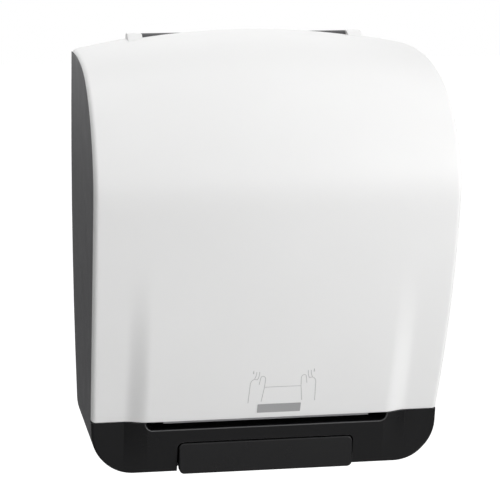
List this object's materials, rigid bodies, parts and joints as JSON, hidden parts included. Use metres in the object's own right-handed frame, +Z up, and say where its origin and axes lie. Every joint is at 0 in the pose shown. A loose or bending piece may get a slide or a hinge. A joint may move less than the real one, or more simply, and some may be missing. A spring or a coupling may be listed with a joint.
{
  "type": "lever paper towel dispenser",
  "caption": "Wall-mounted roll towel dispenser: a bulged white hinged cover over a dark housing, a black outlet band with a push lever, and a knife drum with roll arms inside.",
  "frame": {"origin": "centre of the four wall holes on the housing's back face, 210 mm above the bottom of the case", "axes": "+X right as seen from the front, +Y into the wall, +Z up; the front faces -Y and the wall is at y = 0"},
  "size_m": [0.335, 0.2161, 0.4049],
  "materials": {
    "case_dark": "fine spark-eroded texture, near black",
    "case_black": "satin black",
    "cover_white": "semi-gloss white",
    "label_grey": "satin mid grey",
    "strip_grey": "satin light grey sheet",
    "frame_plastic": "grey moulded",
    "drum_plastic": "light grey moulded",
    "gear_plastic": "natural acetal",
    "hand_plastic": "moulded, touch point colour",
    "grip_rubber": "matt black",
    "steel": "drawn",
    "spring_steel": "spring wire",
    "screw_steel": "zinc plated",
    "lock_metal": "nickel plated"
  },
  "bodies": {
    "housing": {"rear_housing": "case_dark", "outlet_fascia": "case_black", "fascia_screws": "screw_steel", "hinge_pins": "steel", "side_frame_right": "frame_plastic", "side_frame_left": "frame_plastic", "tie_rods": "steel", "shaft_bushes": "gear_plastic", "frame_screws": "screw_steel", "towel_chute": "frame_plastic", "pinch_springs": "spring_steel", "spring_post": "steel", "drive_spring": "spring_steel", "roll_arm_left": "frame_plastic", "arm_bracket": "frame_plastic", "arm_pin": "steel", "arm_screws": "screw_steel", "hub_screw_left": "screw_steel", "lock_body": "lock_metal", "lock_nut": "lock_metal"},
    "cover": {"front_cover": "cover_white", "cover_catch": "cover_white", "label_plate": "label_grey", "tear_strip": "strip_grey"},
    "lever": {"push_lever": "case_black", "lever_shaft": "steel", "lever_springs": "spring_steel", "gear_sector": "gear_plastic", "shaft_clips": "spring_steel"},
    "pinion": {"drive_pinion": "gear_plastic"},
    "drum": {"drum_shell": "drum_plastic", "grip_rings": "grip_rubber", "drum_cap_right": "drum_plastic", "drum_cap_left": "drum_plastic", "drum_shaft": "steel", "hand_wheel": "hand_plastic", "crank_wheel": "gear_plastic"},
    "knife": {"knife_carrier": "frame_plastic", "knife_blade": "steel", "knife_pins": "steel", "blade_screws": "screw_steel"},
    "pinch": {"pinch_shaft": "steel", "pinch_rollers": "grip_rubber"},
    "roll_arm": {"roll_arm_right": "frame_plastic", "arm_spring": "spring_steel", "hub_screw_right": "screw_steel"},
    "hub_right": {"core_hub_right": "hand_plastic"},
    "hub_left": {"core_hub_left": "hand_plastic"},
    "lock": {"lock_plug": "lock_metal", "lock_cam": "steel", "cam_screw": "screw_steel"}
  },
  "joints": [
    {"name": "cover_hinge", "type": "hinge", "parent": "housing", "child": "cover", "pos_m": [0, -0.011, 0.184], "axis": [-1, 0, 0], "range_deg": [0, 95]},
    {"name": "lever_push", "type": "hinge", "parent": "housing", "child": "lever", "pos_m": [0, -0.134, -0.174], "axis": [1, 0, 0], "range_deg": [0, 16], "stiffness_Nm_per_rad": 0.4, "springref_deg": -11.46},
    {"name": "pinion_turn", "type": "hinge", "parent": "housing", "child": "pinion", "pos_m": [0, -0.095, -0.09876], "axis": [1, 0, 0], "range_deg": [-60, 0]},
    {"name": "drum_spin", "type": "hinge", "parent": "housing", "child": "drum", "pos_m": [0, -0.095, -0.09876], "axis": [1, 0, 0], "continuous": true, "deforming": ["drive_spring"]},
    {"name": "knife_swing", "type": "hinge", "parent": "drum", "child": "knife", "pos_m": [0, -0.095, -0.0733], "axis": [-1, 0, 0], "range_deg": [0, 18], "stiffness_Nm_per_rad": 0.02, "springref_deg": -22.92},
    {"name": "pinch_spin", "type": "hinge", "parent": "housing", "child": "pinch", "pos_m": [0, -0.06467, -0.12909], "axis": [1, 0, 0], "continuous": true},
    {"name": "arm_swing", "type": "hinge", "parent": "housing", "child": "roll_arm", "pos_m": [0.122, -0.024, 0.075], "axis": [0, 0, 1], "range_deg": [0, 20], "stiffness_Nm_per_rad": 0.5, "springref_deg": -17.19},
    {"name": "hub_right_spin", "type": "hinge", "parent": "roll_arm", "child": "hub_right", "pos_m": [0.103, -0.103, 0.075], "axis": [1, 0, 0], "continuous": true},
    {"name": "hub_left_spin", "type": "hinge", "parent": "housing", "child": "hub_left", "pos_m": [-0.103, -0.103, 0.075], "axis": [1, 0, 0], "continuous": true},
    {"name": "lock_turn", "type": "hinge", "parent": "housing", "child": "lock", "pos_m": [0.155, -0.11, -0.12], "axis": [1, 0, 0], "range_deg": [0, 90]}
  ],
  "couplings": [
    {"joint": "pinion_turn", "follows": "lever_push", "ratio": -3.7083},
    {"joint": "pinch_spin", "follows": "drum_spin", "ratio": -3.7333}
  ]
}
